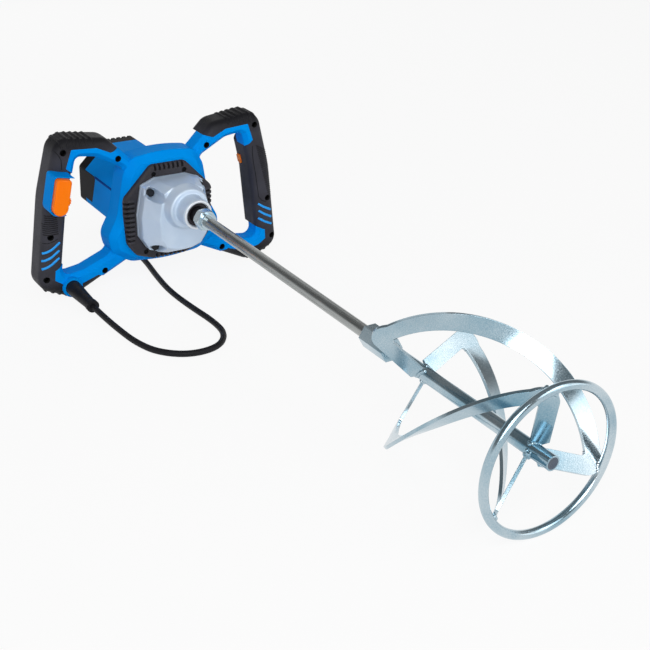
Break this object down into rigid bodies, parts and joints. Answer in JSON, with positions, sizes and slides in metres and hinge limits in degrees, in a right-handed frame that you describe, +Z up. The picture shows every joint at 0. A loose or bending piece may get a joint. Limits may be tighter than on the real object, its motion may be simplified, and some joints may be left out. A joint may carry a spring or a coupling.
{
  "type": "electric mixing drill",
  "caption": "Two-handed electric mixing drill lying down: motor body with D-shaped grips, trigger, gearbox and a long rod with a ringed spiral paddle for mortar or paint.",
  "frame": {"origin": "bottom centre of the box round the tool without its cord, on the floor that the paddle ring and both lower handle corners rest on", "axes": "+Y along the tool on the floor from the paddle to the motor, +Z up from the floor, +X across the handles so that the trigger is on the -X side; the spindle rises towards +Y by the rest tilt"},
  "size_m": [0.317, 0.895, 0.1927],
  "materials": {
    "blue_plastic": "moulded",
    "soft_grip": "matte",
    "black_plastic": "matte",
    "orange_plastic": "moulded",
    "cast_alloy": "cast",
    "zinc_steel": "zinc plated",
    "dark_steel": "black oxide",
    "bright_steel": "machined",
    "copper": "enamelled",
    "carbon": "matte",
    "brass": "satin",
    "cord_rubber": "matte"
  },
  "bodies": {
    "housing": {"front_housing": "blue_plastic", "rear_housing": "blue_plastic", "rear_cap": "black_plastic", "rear_cap_screws": "dark_steel", "front_vent_ring": "black_plastic", "vent_ring_screws": "dark_steel", "gearbox_cover": "cast_alloy", "gearbox_plate": "cast_alloy", "gearbox_screws": "bright_steel", "right_grip_front": "soft_grip", "right_grip_rear": "soft_grip", "left_grip_front": "soft_grip", "left_grip_rear": "soft_grip", "handle_screws": "dark_steel", "trigger_guard": "blue_plastic", "switch_body": "black_plastic", "lock_switch": "black_plastic", "speed_controller": "black_plastic", "strain_relief": "cord_rubber", "cord_clamp": "black_plastic", "stator_core": "bright_steel", "field_coils": "copper", "brush_holders": "brass", "carbon_brushes": "carbon", "armature_front_bearing": "bright_steel", "armature_rear_bearing": "bright_steel", "layshaft_front_bearing": "bright_steel", "layshaft_rear_bearing": "bright_steel", "spindle_front_bearing": "bright_steel", "spindle_rear_bearing": "bright_steel", "spindle_seal": "cord_rubber", "bearing_circlip": "bright_steel", "cord_lead": "cord_rubber", "cord_coil": "cord_rubber", "cord_tie": "black_plastic", "plug_body": "cord_rubber", "plug_pins": "brass"},
    "spindle": {"spindle": "dark_steel", "output_gear": "bright_steel", "rod_adapter": "zinc_steel", "mixing_rod": "zinc_steel", "coupling_sleeve": "zinc_steel", "paddle_tube": "zinc_steel", "mixing_ring": "zinc_steel", "mixing_band_1": "zinc_steel", "mixing_band_2": "zinc_steel", "mixing_band_3": "zinc_steel"},
    "layshaft": {"layshaft": "bright_steel", "layshaft_gear": "bright_steel"},
    "armature": {"armature_shaft": "bright_steel", "cooling_fan": "black_plastic", "armature_core": "bright_steel", "armature_windings": "copper", "commutator": "brass"},
    "trigger": {"trigger": "orange_plastic"},
    "speed_wheel": {"speed_wheel": "orange_plastic"},
    "lock_button": {"lock_button": "orange_plastic"}
  },
  "joints": [
    {"name": "spindle_spin", "type": "hinge", "parent": "housing", "child": "spindle", "pos_m": [0, 0.17906, 0.1064], "axis": [0, 0.998, 0.0627], "continuous": true},
    {"name": "layshaft_spin", "type": "hinge", "parent": "housing", "child": "layshaft", "pos_m": [0.01861, 0.23549, 0.09322], "axis": [0, 0.998, 0.0627], "continuous": true},
    {"name": "armature_spin", "type": "hinge", "parent": "housing", "child": "armature", "pos_m": [0, 0.28635, 0.08908], "axis": [0, 0.998, 0.0627], "continuous": true},
    {"name": "trigger_pull", "type": "slide", "parent": "housing", "child": "trigger", "axis": [0, 0.998, 0.0627], "range_m": [0, 0.008], "stiffness_N_per_m": 900, "springref_m": -0.004},
    {"name": "speed_dial", "type": "hinge", "parent": "trigger", "child": "speed_wheel", "pos_m": [-0.13268, 0.24235, 0.12768], "axis": [0, 0.998, 0.0627], "range_deg": [-150, 150]},
    {"name": "lock_press", "type": "slide", "parent": "housing", "child": "lock_button", "axis": [0.9711, -0.0149, 0.2381], "range_m": [0, 0.002], "stiffness_N_per_m": 1500, "springref_m": -0.001}
  ],
  "couplings": [
    {"joint": "layshaft_spin", "follows": "spindle_spin", "ratio": -3},
    {"joint": "armature_spin", "follows": "spindle_spin", "ratio": 9}
  ]
}
